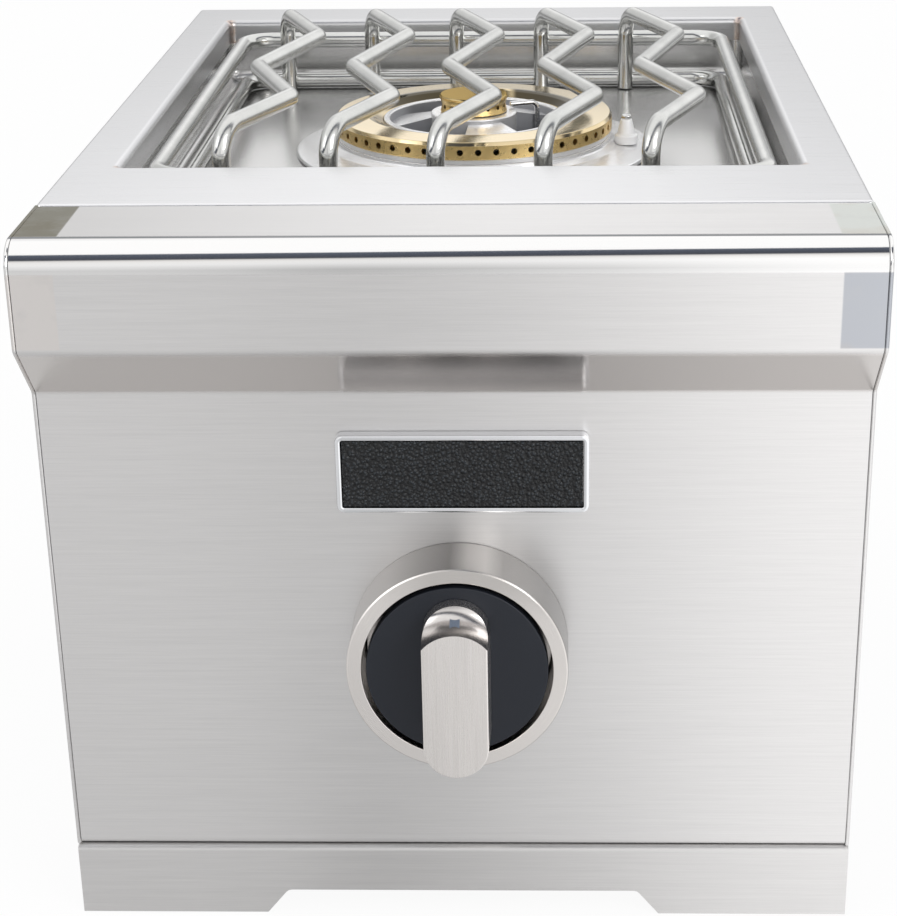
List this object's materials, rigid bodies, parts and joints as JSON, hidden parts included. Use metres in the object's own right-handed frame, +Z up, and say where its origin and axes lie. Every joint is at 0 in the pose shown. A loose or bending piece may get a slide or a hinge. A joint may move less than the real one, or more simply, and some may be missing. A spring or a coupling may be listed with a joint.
{
  "type": "built in side burner",
  "caption": "Stainless drop-in side gas burner for an outdoor kitchen, with a zigzag rod grate, a brass flame ring and a push-and-turn lever knob.",
  "frame": {"origin": "middle of the bottom of the whole appliance, in the plane of the plinth feet", "axes": "+Z up, the knob and front panel face -Y, +X to the right seen from the front"},
  "size_m": [0.32, 0.502, 0.3087],
  "materials": {
    "brushed_steel": "stainless sheet with a fine horizontal brush",
    "polished_steel": "bright satin-polished stainless",
    "housing_steel": "plain zinc-coated sheet",
    "cast_aluminium": "turned and polished cast aluminium",
    "brass": "machined brass",
    "ceramic": "white glazed ceramic",
    "bright_hardware": "bright steel hardware",
    "satin_nickel": "warm satin nickel, brushed",
    "knob_black": "bluish-black matt",
    "mark_grey": "blue-grey enamel mark",
    "plate_chrome": "polished chrome rim",
    "plate_black": "black pebbled insert",
    "module_black": "black moulded case",
    "lead_insulation": "orange-red silicone insulation"
  },
  "bodies": {
    "appliance": {"top_deck": "brushed_steel", "front_panel": "brushed_steel", "front_panel_end_left": "brushed_steel", "front_panel_end_right": "brushed_steel", "front_plinth": "brushed_steel", "burner_pan": "polished_steel", "rear_plinth": "housing_steel", "housing_bottom": "housing_steel", "housing_left": "housing_steel", "housing_right": "housing_steel", "housing_rear": "housing_steel", "valve_bracket": "housing_steel", "venturi_outer": "housing_steel", "venturi_inner": "housing_steel", "orifice_bracket": "housing_steel", "burner_base": "cast_aluminium", "burner_body": "cast_aluminium", "valve_body": "brass", "outer_orifice": "brass", "inner_orifice": "brass", "outer_gas_tube": "brass", "inner_gas_tube": "brass", "inlet_fitting": "brass", "electrode_insulator": "ceramic", "inner_electrode_wire": "bright_hardware", "electrode_tip": "bright_hardware", "burner_screw_front": "bright_hardware", "burner_screw_rear": "bright_hardware", "bezel_screw_left": "bright_hardware", "bezel_screw_right": "bright_hardware", "valve_screw_left": "bright_hardware", "valve_screw_right": "bright_hardware", "knob_spring": "bright_hardware", "supply_tube": "bright_hardware", "knob_bezel": "satin_nickel", "nameplate_frame": "plate_chrome", "nameplate_insert": "plate_black", "spark_module": "module_black", "ignition_lead": "lead_insulation", "inner_ignition_lead": "lead_insulation"},
    "grate": {"grate_loop_upper": "polished_steel", "grate_loop_lower": "polished_steel", "grate_bar_1": "polished_steel", "grate_bar_2": "polished_steel", "grate_bar_3": "polished_steel", "grate_bar_4": "polished_steel", "grate_bar_5": "polished_steel"},
    "flame_ring_body": {"flame_ring": "brass"},
    "burner_cap_body": {"burner_cap": "brass"},
    "knob_push_body": {"stem_washer": "housing_steel"},
    "knob_turn_body": {"valve_stem": "bright_hardware", "knob_disc": "knob_black", "knob_lever": "satin_nickel", "knob_pointer": "mark_grey"},
    "outer_shutter_body": {"air_shutter_outer": "housing_steel"},
    "inner_shutter_body": {"air_shutter_inner": "housing_steel"}
  },
  "joints": [
    {"name": "grate_lift", "type": "slide", "parent": "appliance", "child": "grate", "axis": [0, 0, 1], "range_m": [0, 0.06]},
    {"name": "flame_ring_lift", "type": "slide", "parent": "appliance", "child": "flame_ring_body", "axis": [0, 0, 1], "range_m": [0, 0.015]},
    {"name": "burner_cap_lift", "type": "slide", "parent": "appliance", "child": "burner_cap_body", "axis": [0, 0, 1], "range_m": [0, 0.008]},
    {"name": "knob_push", "type": "slide", "parent": "appliance", "child": "knob_push_body", "axis": [0, 1, 0], "range_m": [0, 0.003], "stiffness_N_per_m": 1500, "deforming": ["knob_spring"]},
    {"name": "knob_turn", "type": "hinge", "parent": "knob_push_body", "child": "knob_turn_body", "pos_m": [0.001, -0.206, 0.12698], "axis": [0, -1, 0], "range_deg": [0, 210]},
    {"name": "outer_shutter_turn", "type": "hinge", "parent": "appliance", "child": "outer_shutter_body", "pos_m": [-0.05025, -0.026, 0.228], "axis": [0, 1, 0], "range_deg": [0, 90]},
    {"name": "inner_shutter_turn", "type": "hinge", "parent": "appliance", "child": "inner_shutter_body", "pos_m": [0, -0.026, 0.205], "axis": [0, 1, 0], "range_deg": [0, 90]}
  ]
}
